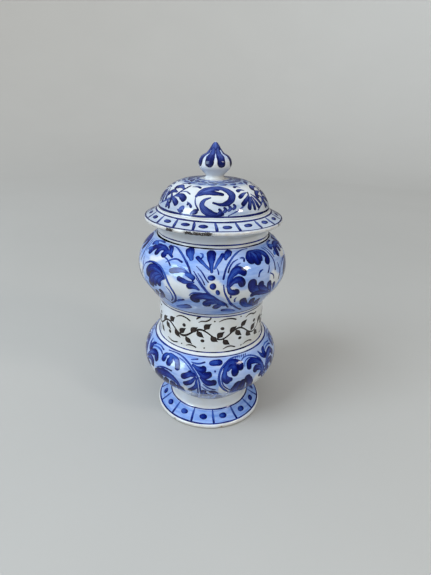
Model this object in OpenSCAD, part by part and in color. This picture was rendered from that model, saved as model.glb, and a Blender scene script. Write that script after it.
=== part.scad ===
// Lidded apothecary jar, glazed earthenware, millimetres.
// Z is the jar's axis, and z = 0 is the plane the foot stands on.
// Jar: thrown double-lobed body and turned foot. Lid: dome, locating ring and knob.

/* [Jar body] */
// height from the table to the mouth rim, lid off
jar_h = 168.6; // [140:0.1:210]
// wall thickness of the body and the lid
wall = 5; // [4:0.1:7]
// thickness of the jar's floor
floor_t = 6; // [4:0.1:9]
// greatest radius of the lower lobe
lower_lobe_r = 56.9; // [47:0.1:70]
// corner radius of the lower lobe's shoulder
lower_shoulder_r = 21.4; // [16:0.1:26]
// slope of the lower lobe's underside, degrees in from upright
lower_taper = 43.6; // [34:0.1:50]
// outside radius of the waist that carries the label band
waist_r = 43.6; // [39:0.1:47]
// greatest radius of the upper lobe
upper_lobe_r = 59.2; // [50:0.1:72]
// corner radius of the upper lobe's shoulder
upper_shoulder_r = 24.9; // [20:0.1:30]
// slope of the upper lobe's underside, degrees in from upright
upper_taper = 35.9; // [28:0.1:45]
// outside radius of the neck
neck_r = 43.6; // [37:0.1:52.5]
// height of the neck above the upper shoulder
neck_h = 10.9; // [9:0.1:14]

/* [Foot] */
// outside radius of the foot's rolled lip
foot_r = 46.6; // [42:0.1:56]
// height of the foot, table to the underside of the body
foot_h = 21; // [18:0.1:25.5]
// outside radius of the foot's neck
foot_neck_r = 33.5; // [30:0.1:38]
// radius of the rolled lip that the foot stands on
foot_lip_r = 2.1; // [1.6:0.1:2.6]
// slope of the foot's flange, degrees below level
foot_slope = 33; // [27:0.5:38]

/* [Lid] */
// standing gap between the mouth rim and the brim, from the unevenness of two fired rims
lid_play = 0.05; // [0.02:0.01:0.2]
// how far the brim's edge stands out past the neck
brim_overhang = 10.1; // [8:0.1:13]
// radius of the brim's rolled edge
brim_lip_r = 1.9; // [1.4:0.1:2.4]
// height of the lid's flat knob seat above the mouth rim
dome_h = 30.65; // [25:0.05:37]
// how far the foot of the dome stands out past the neck
dome_overhang = 0; // [-1:0.1:4]
// corner radius of the dome's shoulder
dome_shoulder_r = 25.4; // [20:0.1:30]
// depth of the ring that drops into the neck
ring_h = 8; // [6:0.1:10]
// thickness of that ring
ring_t = 4; // [3:0.1:5]
// gap all round between the ring and the neck's bore
ring_clear = 1.2; // [0.6:0.1:2]
// how far the lid's inner edge stands in past the ring
ring_ledge = 0.4; // [0:0.1:1]

/* [Knob] */
// height of the knob, its seat to its tip
knob_h = 25.7; // [21.5:0.1:31]
// greatest radius of the knob's bulb
knob_r = 12.8; // [10.5:0.1:15.5]
// radius of the bulb's roll
knob_roll_r = 6.7; // [5.6:0.1:8]
// radius of the rounded point
knob_tip_r = 1.9; // [1.5:0.1:2.4]
// radius of the knob's stem
knob_stem_r = 6.9; // [5.7:0.1:8.3]
// radius of the knob's seat on the dome
knob_foot_r = 7.8; // [6.5:0.1:9.4]

/* [Hidden] */
arc = 96;
// the lobes: centres of their shoulder rolls, and where each one meets its neighbours
lower_c = lower_lobe_r - lower_shoulder_r;
upper_c = upper_lobe_r - upper_shoulder_r;
lower_tan_r = lower_c + lower_shoulder_r * cos(lower_taper);
upper_tan_r = upper_c + upper_shoulder_r * cos(upper_taper);
lower_z = foot_h + (lower_tan_r - foot_neck_r) / tan(lower_taper)
    + lower_shoulder_r * sin(lower_taper);
upper_rise = sqrt(pow(upper_shoulder_r, 2) - pow(min(neck_r - upper_c, upper_shoulder_r - 1), 2));
upper_z = jar_h - neck_h - upper_rise;
// inside surfaces
neck_bore_r = neck_r - wall;
waist_bore_r = waist_r - wall;
floor_z = foot_h + floor_t;
floor_r = foot_neck_r - wall / cos(lower_taper) + floor_t * tan(lower_taper);
// the foot
foot_fillet_r = 5;
foot_lip_top = foot_lip_r * 2;
foot_edge_r = foot_r - foot_lip_r;
foot_edge_z = foot_lip_top + 0.35;
foot_run = foot_edge_r - foot_neck_r - foot_fillet_r * (1 - sin(foot_slope));
foot_flange_z = foot_edge_z + foot_run * tan(foot_slope);
foot_fillet_z = foot_flange_z + foot_fillet_r * cos(foot_slope);
foot_bore_r = foot_neck_r - wall;
foot_inner_r = foot_r - foot_lip_r * 2 - 1.4;
// the lid
lid_z = jar_h + lid_play;
brim_r = neck_r + brim_overhang;
dome_r = neck_r + dome_overhang;
ring_r = neck_bore_r - ring_clear;
ring_bore_r = ring_r - ring_t;
lid_bore_r = ring_bore_r - ring_ledge;
seat_z = lid_z + dome_h;
total_h = seat_z + knob_h;
dome_c = dome_r - dome_shoulder_r;
dome_z = seat_z - 0.9 - dome_shoulder_r;
crown_a = 4.5;
crown_r = dome_c + dome_shoulder_r * sin(crown_a);
crown_z = dome_z + dome_shoulder_r * cos(crown_a);
lid_inner_r = dome_c + sqrt(pow(dome_shoulder_r - wall, 2) - pow(lid_z + wall - dome_z, 2));
brim_edge_r = brim_r - brim_lip_r * 0.85;
brim_edge_z = lid_z + brim_lip_r * 1.85;
brim_slope = 29.4;
brim_inner_r = dome_r - 1.2;
brim_inner_z = brim_edge_z + (brim_edge_r - brim_inner_r) * tan(brim_slope);
// the knob
bulb_z = seat_z + knob_h * 0.445;
bulb_c = knob_r - knob_roll_r;
tip_low_r = bulb_c + 0.5;
tip_low_z = bulb_z + knob_roll_r - 0.3;
tip_top_r = knob_tip_r * 0.97;
tip_top_z = total_h - knob_tip_r * 0.75;
tip_sweep_r = knob_h * 0.62;
tip_chord = norm([tip_low_r - tip_top_r, tip_top_z - tip_low_z]);
tip_back = sqrt(pow(tip_sweep_r, 2) - pow(tip_chord / 2, 2)) / tip_chord;
tip_sweep_x = (tip_low_r + tip_top_r) / 2 + tip_back * (tip_top_z - tip_low_z);
tip_sweep_z = (tip_low_z + tip_top_z) / 2 + tip_back * (tip_low_r - tip_top_r);
stem_fillet_r = 1.8;
stem_fillet_z = seat_z + 2.3;

glaze = [0.86, 0.88, 0.90];
glaze_blue = [0.62, 0.70, 0.88];
lid_glaze = [0.88, 0.89, 0.89];
bisque = [0.80, 0.74, 0.66];
knob_glaze = [0.80, 0.84, 0.92];

// half outline of one lobe: shoulder roll of radius a, underside cone down to radius low_r
module lobe(r, z, a, taper, low_r) {
    tan_r = r - a + a * cos(taper);
    tan_z = z - a * sin(taper);
    low_z = tan_z - (tan_r - low_r) / tan(taper);
    translate([r - a, z]) circle(r = a, $fn = arc);
    polygon([[0, low_z], [low_r, low_z], [tan_r, tan_z], [r - a, z], [r - a, z + a], [0, z + a]]);
}

// keeps the half plane that rotate_extrude needs
module right_of_axis() {
    intersection() {
        children();
        translate([0, -10]) square([200, total_h + 60]);
    }
}

module body_outside() {
    lobe(lower_lobe_r, lower_z, lower_shoulder_r, lower_taper, foot_neck_r);
    lobe(upper_lobe_r, upper_z, upper_shoulder_r, upper_taper, waist_r);
    translate([0, lower_z]) square([waist_r, upper_z - lower_z]);
    translate([0, upper_z]) square([neck_r, jar_h - upper_z]);
}

module body_inside() {
    intersection() {
        union() {
            lobe(lower_lobe_r - wall, lower_z, lower_shoulder_r - wall, lower_taper, floor_r);
            lobe(upper_lobe_r - wall, upper_z, upper_shoulder_r - wall, upper_taper, waist_bore_r);
            translate([0, lower_z]) square([waist_bore_r, upper_z - lower_z]);
            translate([0, upper_z]) square([neck_bore_r, jar_h]);
        }
        translate([0, floor_z]) square([200, total_h]);
    }
}

// hollow double-lobed vessel with its floor, waist and open mouth
module jar_body() {
    color(glaze) rotate_extrude($fn = arc) difference() {
        right_of_axis() body_outside();
        body_inside();
        translate([0, foot_h - 30]) square([200, 30]);
    }
}

module foot_outside() {
    translate([foot_edge_r, foot_lip_r]) circle(r = foot_lip_r, $fn = arc);
    difference() {
        polygon([
            [0, 0],
            [foot_edge_r, 0],
            [foot_edge_r + 0.9, foot_lip_r],
            [foot_edge_r, foot_edge_z],
            [foot_neck_r + foot_fillet_r * (1 - sin(foot_slope)), foot_flange_z],
            [foot_neck_r + foot_fillet_r, foot_fillet_z],
            [foot_neck_r, foot_fillet_z],
            [foot_neck_r, foot_h],
            [0, foot_h]
        ]);
        translate([foot_neck_r + foot_fillet_r, foot_fillet_z]) circle(r = foot_fillet_r, $fn = arc);
    }
}

// hollow turned foot: standing lip, sloping flange and short neck under the body
module foot_ring() {
    color(glaze_blue) rotate_extrude($fn = arc) difference() {
        right_of_axis() foot_outside();
        translate([0, -1]) square([foot_bore_r, foot_h + 2]);
        polygon([
            [0, -1],
            [foot_inner_r, -1],
            [foot_inner_r, 1.2],
            [foot_bore_r, foot_flange_z - 2.2],
            [0, foot_flange_z - 2.2]
        ]);
    }
}

module lid_outside() {
    translate([dome_c, dome_z]) circle(r = dome_shoulder_r, $fn = arc);
    translate([brim_r - brim_lip_r, lid_z + brim_lip_r]) circle(r = brim_lip_r, $fn = arc);
    polygon([
        [0, lid_z],
        [brim_r - brim_lip_r, lid_z],
        [brim_edge_r, brim_edge_z],
        [brim_inner_r, brim_inner_z],
        [0, brim_inner_z]
    ]);
    polygon([
        [0, lid_z],
        [dome_c, lid_z],
        [crown_r, crown_z],
        [knob_foot_r, seat_z],
        [0, seat_z]
    ]);
}

module lid_inside() {
    intersection() {
        union() {
            translate([dome_c, dome_z]) circle(r = dome_shoulder_r - wall, $fn = arc);
            square([dome_c, dome_z + dome_shoulder_r - wall]);
        }
        translate([0, lid_z + wall]) square([200, total_h]);
    }
    polygon([
        [0, lid_z - 1],
        [lid_bore_r, lid_z - 1],
        [lid_bore_r, lid_z + 0.8],
        [lid_inner_r, lid_z + wall],
        [0, lid_z + wall]
    ]);
}

// hollow dome with its brim, which rests on the mouth rim
module lid_shell() {
    color(lid_glaze) rotate_extrude($fn = arc) difference() {
        right_of_axis() intersection() {
            lid_outside();
            translate([0, lid_z]) square([200, total_h]);
        }
        lid_inside();
    }
}

// ring under the lid that drops into the neck and keeps the lid centred
module lid_seat_ring() {
    color(bisque) rotate_extrude($fn = arc) union() {
        translate([ring_bore_r, lid_z - ring_h + ring_t / 2]) square([ring_t, ring_h - ring_t / 2]);
        translate([ring_bore_r + ring_t / 2, lid_z - ring_h + ring_t / 2])
            circle(r = ring_t / 2, $fn = arc);
    }
}

module knob_outline() {
    // bulb
    translate([bulb_c, bulb_z]) circle(r = knob_roll_r, $fn = arc);
    translate([0, bulb_z - knob_roll_r]) square([bulb_c, knob_roll_r * 2]);
    // stem with a fillet down to its seat
    difference() {
        translate([0, seat_z]) square([knob_foot_r, bulb_z - seat_z]);
        translate([knob_stem_r + stem_fillet_r, stem_fillet_z]) circle(r = stem_fillet_r, $fn = arc);
        translate([knob_stem_r, stem_fillet_z]) square([knob_foot_r, bulb_z - seat_z]);
    }
    // drawn-up point
    difference() {
        polygon([
            [0, bulb_z],
            [tip_low_r, bulb_z],
            [tip_low_r, tip_low_z],
            [tip_top_r, tip_top_z],
            [0, tip_top_z]
        ]);
        translate([tip_sweep_x, tip_sweep_z]) circle(r = tip_sweep_r, $fn = arc);
    }
    translate([0, total_h - knob_tip_r]) circle(r = knob_tip_r, $fn = arc);
}

// solid onion-shaped knob with a drawn-up point
module lid_knob() {
    color(knob_glaze) rotate_extrude($fn = arc) right_of_axis() knob_outline();
}

jar_body();
foot_ring();
lid_shell();
lid_seat_ring();
lid_knob();
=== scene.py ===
"""Looks of a lidded apothecary jar: tin-glazed earthenware with cobalt brushwork.

Lengths are in millimetres until a mesh is made, and turn into metres there.
Every glazed piece is a body of revolution about +Z. A spot on one is given by an angle in
degrees from the front (-Y), positive to the right, and a distance in mm down its outline.
"""

import math

import bpy
import numpy as np
from mathutils import Matrix, Vector


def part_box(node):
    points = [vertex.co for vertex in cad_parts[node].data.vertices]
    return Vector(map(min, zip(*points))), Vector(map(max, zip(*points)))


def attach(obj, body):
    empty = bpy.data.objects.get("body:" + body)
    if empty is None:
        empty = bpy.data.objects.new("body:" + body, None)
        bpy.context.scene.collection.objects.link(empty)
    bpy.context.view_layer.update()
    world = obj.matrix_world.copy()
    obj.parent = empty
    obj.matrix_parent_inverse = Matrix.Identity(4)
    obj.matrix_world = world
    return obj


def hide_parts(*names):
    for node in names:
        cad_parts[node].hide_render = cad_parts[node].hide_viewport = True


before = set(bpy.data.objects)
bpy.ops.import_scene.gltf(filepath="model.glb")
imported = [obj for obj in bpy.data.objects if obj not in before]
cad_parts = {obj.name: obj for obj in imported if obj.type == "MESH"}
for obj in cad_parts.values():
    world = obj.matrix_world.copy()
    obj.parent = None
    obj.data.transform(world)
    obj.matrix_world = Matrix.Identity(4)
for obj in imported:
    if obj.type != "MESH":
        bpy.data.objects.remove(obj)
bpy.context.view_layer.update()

MM = 0.001

# ---------------- sizes, from the frame

body_low, body_high = (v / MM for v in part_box("jar_body"))
foot_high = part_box("foot_ring")[1] / MM
shell_low, shell_high = (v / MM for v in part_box("lid_shell"))
ring_low, ring_high = (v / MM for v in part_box("lid_seat_ring"))
knob_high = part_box("lid_knob")[1] / MM

FOOT_H = body_low.z
MOUTH_Z = body_high.z
LID_Z = shell_low.z
SEAT_Z = shell_high.z
TIP_Z = knob_high.z
UPPER_R = body_high.x
FOOT_R = foot_high.x
BRIM_R = shell_high.x
KNOB_R = knob_high.x
RING_R = ring_high.x

# what the boxes can't tell, as in the CAD model
WALL = 5.0
FLOOR_T = 6.0
LOWER_R, LOWER_ROLL, LOWER_TAPER = 56.9, 21.4, 43.6
UPPER_ROLL, UPPER_TAPER = 24.9, 35.9
WAIST_R = NECK_R = 43.6
NECK_H = 10.9
FOOT_NECK_R, FOOT_LIP, FOOT_SLOPE, FOOT_FILLET = 33.5, 2.1, 33.0, 5.0
DOME_R, DOME_ROLL, BRIM_LIP, BRIM_SLOPE = 43.6, 25.4, 1.9, 29.4
RING_T = 4.0
KNOB_ROLL, KNOB_STEM, KNOB_FOOT, KNOB_TIP = 6.7, 6.9, 7.8, 1.9

# how paint lies on the glaze: its edges sink SUNK under the surface, and each stroke lies LAYER_STEP
# higher than the last, starting again from the bottom after LAYERS strokes
SUNK = 0.02
LAYER_STEP = 0.004
LAYERS = 8
THINNEST = 0.0004  # keeps a round end from closing to nothing
FOOT_BORDER = 10.3, 22.4  # where the foot's two lines lie, down its outline from the body

BAND_R = 3.0  # radius of the cylinder on which the wash's streaks are looked up
SHARP_ANGLE = 50  # an edge sharper than this, in degrees, isn't shaded smooth


def sin(degrees):
    return math.sin(math.radians(degrees))


def cos(degrees):
    return math.cos(math.radians(degrees))


def tan(degrees):
    return math.tan(math.radians(degrees))


# ---------------- outlines

def arc(centre_r, centre_z, radius, start, end, count=40):
    """Points on an arc, from one angle to another in degrees, 0 pointing away from the axis."""
    angles = np.radians(np.linspace(start, end, count))
    return [(centre_r + radius * math.cos(a), centre_z + radius * math.sin(a)) for a in angles]


def resample(points, step):
    """The same polyline with a point every step mm."""
    points = np.array(points, float)
    length = np.r_[0, np.cumsum(np.hypot(*np.diff(points, axis=0).T))]
    at = np.linspace(0, length[-1], max(2, int(length[-1] / step) + 1))
    return np.stack([np.interp(at, length, points[:, 0]), np.interp(at, length, points[:, 1])], 1)


def soften(points, sigma, keep=(), closed=False):
    """Rounds an outline's corners over about sigma mm, as a glaze does, but not near the keep points."""
    step = 0.2
    fine = resample(list(points) + ([points[0]] if closed else []), step)
    if closed:
        fine = fine[:-1]
    reach = int(4 * sigma / step)
    kernel = np.exp(-0.5 * (np.arange(-reach, reach + 1) * step / sigma) ** 2)
    kernel /= kernel.sum()
    padded = np.pad(fine, ((reach, reach), (0, 0)), mode="wrap" if closed else "edge")
    smooth = np.stack([np.convolve(padded[:, k], kernel, "valid") for k in (0, 1)], 1)
    weight = np.ones(len(fine))
    held = list(keep) if closed else list(keep) + [fine[0], fine[-1]]
    for spot in held:
        distance = np.hypot(*(fine - np.array(spot)).T)
        weight = np.minimum(weight, np.clip(distance / (3 * sigma) - 0.4, 0, 1))
    return fine + (smooth - fine) * weight[:, None]


def pick_rows(outline, step, turn=6.0):
    """Indices of the rows that a lathe mesh needs: one every step mm, and more where the outline turns."""
    direction = np.degrees(np.unwrap(np.arctan2(*np.gradient(outline, axis=0).T)))
    rows = [0]
    travelled = 0.0
    for i in range(1, len(outline)):
        travelled += float(np.hypot(*(outline[i] - outline[i - 1])))
        if travelled >= step or abs(direction[i] - direction[rows[-1]]) >= turn:
            rows.append(i)
            travelled = 0.0
    if rows[-1] != len(outline) - 1:
        rows.append(len(outline) - 1)
    return rows


def body_wobble(theta, z):
    """How far the hand-thrown jar strays inwards from true, in mm."""
    return (-0.17 + 0.09 * np.sin(2 * theta + 0.7) + 0.05 * np.sin(3 * theta + z / 23)
            + 0.03 * np.sin(z / 1.9 + theta))


def lid_wobble(theta, z):
    """The same for the lid, which was thrown on its own."""
    return -0.15 + 0.09 * np.sin(2 * theta + 2.1) + 0.05 * np.sin(3 * theta + z / 15)


def strayed(r, z, theta, wobble):
    """A radius with its wobble, which fades out towards the axis. theta is in radians."""
    return r + wobble(theta, z) * np.clip((r - 2.0) / 10.0, 0, 1)


class Skin:
    """A stretch of a piece's outline that paint lies on, from one outline point to another."""

    def __init__(self, outline, start, end, wobble):
        first = int(np.argmin(np.hypot(*(outline - np.array(start)).T)))
        last = int(np.argmin(np.hypot(*(outline - np.array(end)).T)))
        line = outline[first:last + 1] if first < last else outline[last:first + 1][::-1]
        self.line = line
        self.length = np.r_[0, np.cumsum(np.hypot(*np.diff(line, axis=0).T))]
        self.slope = np.gradient(line, axis=0)
        self.slope /= np.linalg.norm(self.slope, axis=1)[:, None]
        self.wobble = wobble

    def radius(self, s):
        return np.interp(s, self.length, self.line[:, 0])

    def place(self, theta, s, lift):
        """Points and normals at angles theta (degrees) and distances s, lifted off the glaze by lift mm."""
        theta = np.radians(theta)
        r = np.interp(s, self.length, self.line[:, 0])
        z = np.interp(s, self.length, self.line[:, 1])
        dr = np.interp(s, self.length, self.slope[:, 0])
        dz = np.interp(s, self.length, self.slope[:, 1])
        r = strayed(r, z, theta, self.wobble)
        nr, nz = -dz, dr
        r_out = r + nr * lift
        z_out = z + nz * lift
        points = np.stack([r_out * np.sin(theta), -r_out * np.cos(theta), z_out], -1)
        normals = np.stack([nr * np.sin(theta), -nr * np.cos(theta), nz * np.ones_like(theta)], -1)
        return points, normals


# ---------------- the pieces' outlines

lower_c = LOWER_R - LOWER_ROLL
upper_c = UPPER_R - UPPER_ROLL
lower_tan_r = lower_c + LOWER_ROLL * cos(LOWER_TAPER)
upper_tan_r = upper_c + UPPER_ROLL * cos(UPPER_TAPER)
lower_z = FOOT_H + (lower_tan_r - FOOT_NECK_R) / tan(LOWER_TAPER) + LOWER_ROLL * sin(LOWER_TAPER)
upper_z = MOUTH_Z - NECK_H - math.sqrt(UPPER_ROLL ** 2 - (NECK_R - upper_c) ** 2)
WAIST_LOW_Z = lower_z + math.sqrt(LOWER_ROLL ** 2 - (WAIST_R - lower_c) ** 2)
WAIST_TOP_Z = upper_z - UPPER_ROLL * sin(UPPER_TAPER) - (upper_tan_r - WAIST_R) / tan(UPPER_TAPER)


def lobe_arc(centre_r, centre_z, roll, taper, top_r):
    """A lobe's shoulder roll, from where its underside starts up to radius top_r."""
    return arc(centre_r, centre_z, roll, -taper, math.degrees(math.acos((top_r - centre_r) / roll)))


def body_outline():
    """From the middle of the underside, up the outside, over the rim and down to the middle of the floor."""
    neck_bore, waist_bore = NECK_R - WALL, WAIST_R - WALL
    floor_z = FOOT_H + FLOOR_T
    floor_r = FOOT_NECK_R - WALL / cos(LOWER_TAPER) + FLOOR_T * tan(LOWER_TAPER)
    outside = [(0, FOOT_H), (FOOT_NECK_R, FOOT_H)]
    outside += lobe_arc(lower_c, lower_z, LOWER_ROLL, LOWER_TAPER, WAIST_R)
    outside += [(WAIST_R, WAIST_TOP_Z)]
    outside += lobe_arc(upper_c, upper_z, UPPER_ROLL, UPPER_TAPER, NECK_R)
    outside += [(NECK_R, MOUTH_Z)]
    inside = [(neck_bore, MOUTH_Z)]
    inside += lobe_arc(upper_c, upper_z, UPPER_ROLL - WALL, UPPER_TAPER, neck_bore)[::-1]
    inside += [(waist_bore, WAIST_TOP_Z + 1.5)]
    inside += lobe_arc(lower_c, lower_z, LOWER_ROLL - WALL, LOWER_TAPER, waist_bore)[::-1]
    inside += [(floor_r, floor_z), (0, floor_z)]
    return soften(outside + inside, 0.7, keep=[(FOOT_NECK_R, FOOT_H)])


def foot_outline():
    """A closed loop: down the outside from the body, round the lip, and up the hollow inside."""
    edge_r = FOOT_R - FOOT_LIP
    edge_z = FOOT_LIP * 2 + 0.35
    blend = FOOT_FILLET * (1 - sin(FOOT_SLOPE))
    flange_z = edge_z + (edge_r - FOOT_NECK_R - blend) * tan(FOOT_SLOPE)
    fillet_z = flange_z + FOOT_FILLET * cos(FOOT_SLOPE)
    bore = FOOT_NECK_R - WALL
    inner_r = FOOT_R - FOOT_LIP * 2 - 1.4
    loop = [(bore, FOOT_H), (FOOT_NECK_R, FOOT_H)]
    loop += arc(FOOT_NECK_R + FOOT_FILLET, fillet_z, FOOT_FILLET, 180, 270 - FOOT_SLOPE, 12)
    loop += arc(edge_r, FOOT_LIP, FOOT_LIP, 80, -90, 24)
    loop += [(inner_r, 0), (inner_r, 1.2), (bore, flange_z - 2.2)]
    return soften(loop, 0.45, keep=[(FOOT_NECK_R, FOOT_H), (bore, FOOT_H)], closed=True)


def lid_outline():
    """From the middle of the knob's seat, down the dome, round the brim and back up the hollow inside."""
    dome_c = DOME_R - DOME_ROLL
    dome_z = SEAT_Z - 0.9 - DOME_ROLL
    brim_edge = (BRIM_R - BRIM_LIP * 0.85, LID_Z + BRIM_LIP * 1.85)
    inner_r = DOME_R - 1.2
    inner_z = brim_edge[1] + (brim_edge[0] - inner_r) * tan(BRIM_SLOPE)
    bore = RING_R - RING_T - 0.4
    hollow_r = dome_c + math.sqrt((DOME_ROLL - WALL) ** 2 - (LID_Z + WALL - dome_z) ** 2)
    low = math.degrees(math.asin((inner_z - dome_z) / DOME_ROLL))
    line = [(0, SEAT_Z), (KNOB_FOOT, SEAT_Z)]
    line += arc(dome_c, dome_z, DOME_ROLL, 85.5, low)
    line += [(inner_r, inner_z), brim_edge]
    line += arc(BRIM_R - BRIM_LIP, LID_Z + BRIM_LIP, BRIM_LIP, 60, -90, 20)
    line += [(bore, LID_Z), (bore, LID_Z + 0.8), (hollow_r, LID_Z + WALL)]
    line += arc(dome_c, dome_z, DOME_ROLL - WALL, 2, 90)
    line += [(0, dome_z + DOME_ROLL - WALL)]
    return soften(line, 0.5, keep=[(KNOB_FOOT, SEAT_Z)])


def ring_outline():
    """The locating ring: a flat top under the lid and a round lower edge."""
    middle = RING_R - RING_T / 2
    low = ring_low.z + RING_T / 2
    return soften([(RING_R - RING_T, LID_Z), (RING_R, LID_Z)] + arc(middle, low, RING_T / 2, 0, -180, 20),
                  0.3, closed=True)


def knob_outline():
    """From the middle of the seat, up the stem and bulb to the drawn-up point."""
    knob_h = TIP_Z - SEAT_Z
    bulb_z = SEAT_Z + knob_h * 0.425
    bulb_c = KNOB_R - KNOB_ROLL
    line = [(0, SEAT_Z), (KNOB_FOOT, SEAT_Z), (KNOB_FOOT, SEAT_Z + 0.5)]
    line += arc(KNOB_STEM + 1.6, SEAT_Z + 2.1, 1.8, 240, 170, 8)
    line += arc(bulb_c, bulb_z, KNOB_ROLL, -54, 62)
    line += [(bulb_c + 0.6, bulb_z + KNOB_ROLL + 0.2), (4.3, TIP_Z - 4.9), (2.6, TIP_Z - 2.0)]
    line += arc(0, TIP_Z - KNOB_TIP, KNOB_TIP, 28, 90, 10)
    return soften(line, 0.7, keep=[(KNOB_FOOT, SEAT_Z)])


# ---------------- meshes

def new_object(name, vertices, faces, normals=None, **attributes):
    """A mesh object from millimetres, with named per-vertex numbers for its material."""
    mesh = bpy.data.meshes.new(name)
    mesh.from_pydata((np.asarray(vertices) * MM).tolist(), [], faces)
    mesh.update()
    mesh.polygons.foreach_set("use_smooth", np.ones(len(mesh.polygons), bool))
    for label, values in attributes.items():
        values = np.asarray(values, np.float32)
        if values.ndim == 1:
            layer = mesh.attributes.new(label, "FLOAT", "POINT")
            layer.data.foreach_set("value", values)
        else:
            layer = mesh.attributes.new(label, "FLOAT_VECTOR", "POINT")
            layer.data.foreach_set("vector", values.ravel())
    if normals is not None:
        mesh.normals_split_custom_set_from_vertices(np.asarray(normals).tolist())
    thing = bpy.data.objects.new(name, mesh)
    bpy.context.scene.collection.objects.link(thing)
    return thing


def lathe(name, outline, wobble, step, segments, closed=False, shape=None, **paint):
    """Turns an outline about Z into a mesh.

    shape moves its vertices, and each paint function gives one attribute. Both work from the angle in
    degrees from the front, the radius, the height and the distance down the outline.
    """
    rows = pick_rows(outline, step)
    if closed:
        rows = rows[:-1]
    distance = np.r_[0, np.cumsum(np.hypot(*np.diff(outline, axis=0).T))][rows]
    line = outline[rows]
    poles = [] if closed else [0, len(line) - 1]
    theta = np.linspace(-180, 180, segments, endpoint=False)
    grid_theta = np.repeat(theta[None], len(line), 0)
    turn = np.radians(grid_theta)
    grid_s = np.repeat(distance[:, None], segments, 1)
    r = np.repeat(line[:, :1], segments, 1)
    z = np.repeat(line[:, 1:], segments, 1)
    r = strayed(r, z, turn, wobble)
    if shape is not None:
        dr, dz = shape(grid_theta, r, z, grid_s)
        r, z = r + dr, z + dz
    for p in poles:
        r[p] = 0
    points = np.stack([r * np.sin(turn), -r * np.cos(turn), z], -1)
    index = np.arange(len(line) * segments).reshape(len(line), segments)
    faces = []
    count = len(line)
    for i in range(count if closed else count - 1):
        a, b = index[i], index[(i + 1) % count]
        a2, b2 = np.roll(a, -1), np.roll(b, -1)
        if i in poles[:1]:
            faces += [(int(a[0]), int(q), int(p)) for p, q in zip(b, b2)]
        elif i + 1 in poles[1:]:
            faces += [(int(p), int(q), int(b[0])) for p, q in zip(a, a2)]
        else:
            faces += np.stack([a, a2, b2, b], 1).tolist()
    values = {k: f(grid_theta, r, z, grid_s).ravel() for k, f in paint.items()}
    values["band"] = np.stack([BAND_R * np.cos(turn), BAND_R * np.sin(turn), grid_s], -1).reshape(-1, 3)
    points = points.reshape(-1, 3)
    if poles:  # each pole keeps one vertex
        keep = np.ones(len(points), bool)
        keep[index[0, 1:]] = False
        keep[index[-1, 1:]] = False
        renumber = np.cumsum(keep) - 1
        faces = [tuple(int(renumber[v]) for v in f) for f in faces]
        points = points[keep]
        values = {k: v[keep] for k, v in values.items()}
    thing = new_object(name, points, faces, **values)
    thing.data.set_sharp_from_angle(angle=math.radians(SHARP_ANGLE))
    return thing


def eased(value):
    """0 up to 0, 1 from 1 on, and a soft rise between."""
    u = np.clip(value, 0, 1)
    return u * u * (3 - 2 * u)


def round_end(value):
    """Rises from 0 to 1 as the outline of a round end does, and stays at 1."""
    return np.sqrt(np.clip(1 - (1 - np.clip(value, 0, 1)) ** 2, THINNEST, 1))


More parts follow.
